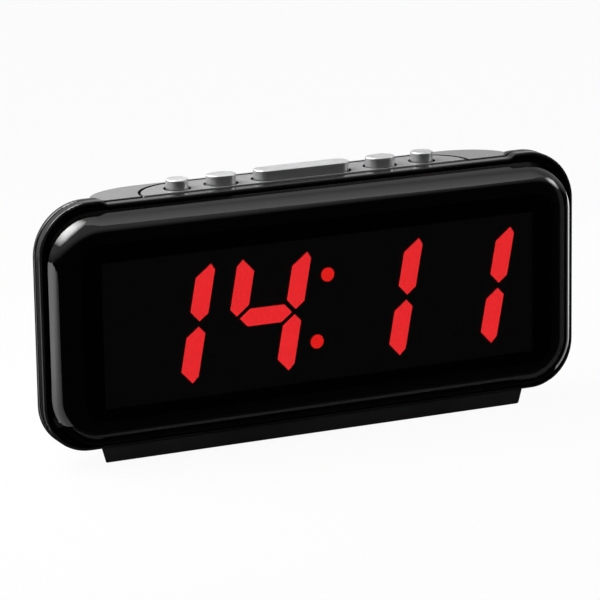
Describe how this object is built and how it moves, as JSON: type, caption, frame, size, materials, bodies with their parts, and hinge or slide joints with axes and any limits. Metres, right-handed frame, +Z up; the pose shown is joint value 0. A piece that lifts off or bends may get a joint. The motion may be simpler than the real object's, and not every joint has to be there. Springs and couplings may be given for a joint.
{
  "type": "digital led desk clock",
  "caption": "Low wide desk clock: smoked curved lens over large red LED digits, stepped black frame, tapering black back, push buttons on a top deck, low foot below.",
  "frame": {"origin": "on the table, under the middle of the clock's overall box", "axes": "+X along the front, to the reader's right; +Y from the lens to the back; +Z up"},
  "size_m": [0.2252, 0.0454, 0.1045],
  "materials": {
    "smoked_lens": "gloss",
    "black_film": "matt",
    "foam": "matt",
    "black_case": "satin",
    "black_shell": "satin",
    "silver_panel": "satin",
    "silver_button": "satin",
    "zinc_steel": "satin",
    "cell_steel": "satin",
    "contact_metal": "satin",
    "crystal_can": "satin",
    "black_component": "matt",
    "capacitor_sleeve": "gloss",
    "circuit_board": "satin",
    "display_black": "matt",
    "lit_red": "lit",
    "unlit_bar": "matt",
    "chip_white": "satin",
    "connector_white": "matt",
    "ribbon_grey": "satin",
    "pad_rubber": "matt"
  },
  "bodies": {
    "clock": {"front_lens": "smoked_lens", "lens_mask": "black_film", "lens_gasket": "foam", "front_frame": "black_case", "rear_shell": "black_shell", "case_screws": "zinc_steel", "button_panel": "silver_panel", "key_switches": "black_component", "switch_board": "circuit_board", "switch_board_screws": "zinc_steel", "display_housing": "display_black", "lit_segments": "lit_red", "dark_segments": "unlit_bar", "colon_dots": "lit_red", "led_chips": "chip_white", "display_board": "circuit_board", "display_board_screws": "zinc_steel", "main_board": "circuit_board", "main_board_screws": "zinc_steel", "clock_chip": "black_component", "quartz_crystal": "crystal_can", "smoothing_capacitor": "capacitor_sleeve", "buzzer": "black_component", "power_jack": "black_component", "jack_pin": "contact_metal", "alarm_switch": "black_component", "backup_cell": "cell_steel", "cell_contact_under": "contact_metal", "cell_contact_side": "contact_metal", "ribbon_connectors": "connector_white", "display_ribbon": "ribbon_grey", "switch_ribbon": "ribbon_grey", "foot": "black_case", "foot_screws": "zinc_steel", "foot_pads": "pad_rubber"},
    "round_button_left": {"round_button_left": "silver_button", "round_plunger_left": "black_component"},
    "oval_button_left": {"oval_button_left": "silver_button", "oval_plunger_left": "black_component"},
    "snooze_bar": {"snooze_bar": "silver_button", "snooze_plunger": "black_component"},
    "oval_button_right": {"oval_button_right": "silver_button", "oval_plunger_right": "black_component"},
    "round_button_right": {"round_button_right": "silver_button", "round_plunger_right": "black_component"},
    "battery_door": {"battery_door": "black_shell"},
    "alarm_slider": {"alarm_slider": "black_component"}
  },
  "joints": [
    {"name": "round_button_left_press", "type": "slide", "parent": "clock", "child": "round_button_left", "axis": [0, 0, -1], "range_m": [0, 0.001], "stiffness_N_per_m": 800, "springref_m": -0.0005},
    {"name": "oval_button_left_press", "type": "slide", "parent": "clock", "child": "oval_button_left", "axis": [0, 0, -1], "range_m": [0, 0.001], "stiffness_N_per_m": 800, "springref_m": -0.0005},
    {"name": "snooze_bar_press", "type": "slide", "parent": "clock", "child": "snooze_bar", "axis": [0, 0, -1], "range_m": [0, 0.001], "stiffness_N_per_m": 800, "springref_m": -0.0005},
    {"name": "oval_button_right_press", "type": "slide", "parent": "clock", "child": "oval_button_right", "axis": [0, 0, -1], "range_m": [0, 0.001], "stiffness_N_per_m": 800, "springref_m": -0.0005},
    {"name": "round_button_right_press", "type": "slide", "parent": "clock", "child": "round_button_right", "axis": [0, 0, -1], "range_m": [0, 0.001], "stiffness_N_per_m": 800, "springref_m": -0.0005},
    {"name": "battery_door_hinge", "type": "hinge", "parent": "clock", "child": "battery_door", "pos_m": [0.034, 0.02255, 0.0507], "axis": [1, 0, 0], "range_deg": [0, 60]},
    {"name": "alarm_slide", "type": "slide", "parent": "clock", "child": "alarm_slider", "axis": [1, 0, 0], "range_m": [0, 0.004]}
  ]
}
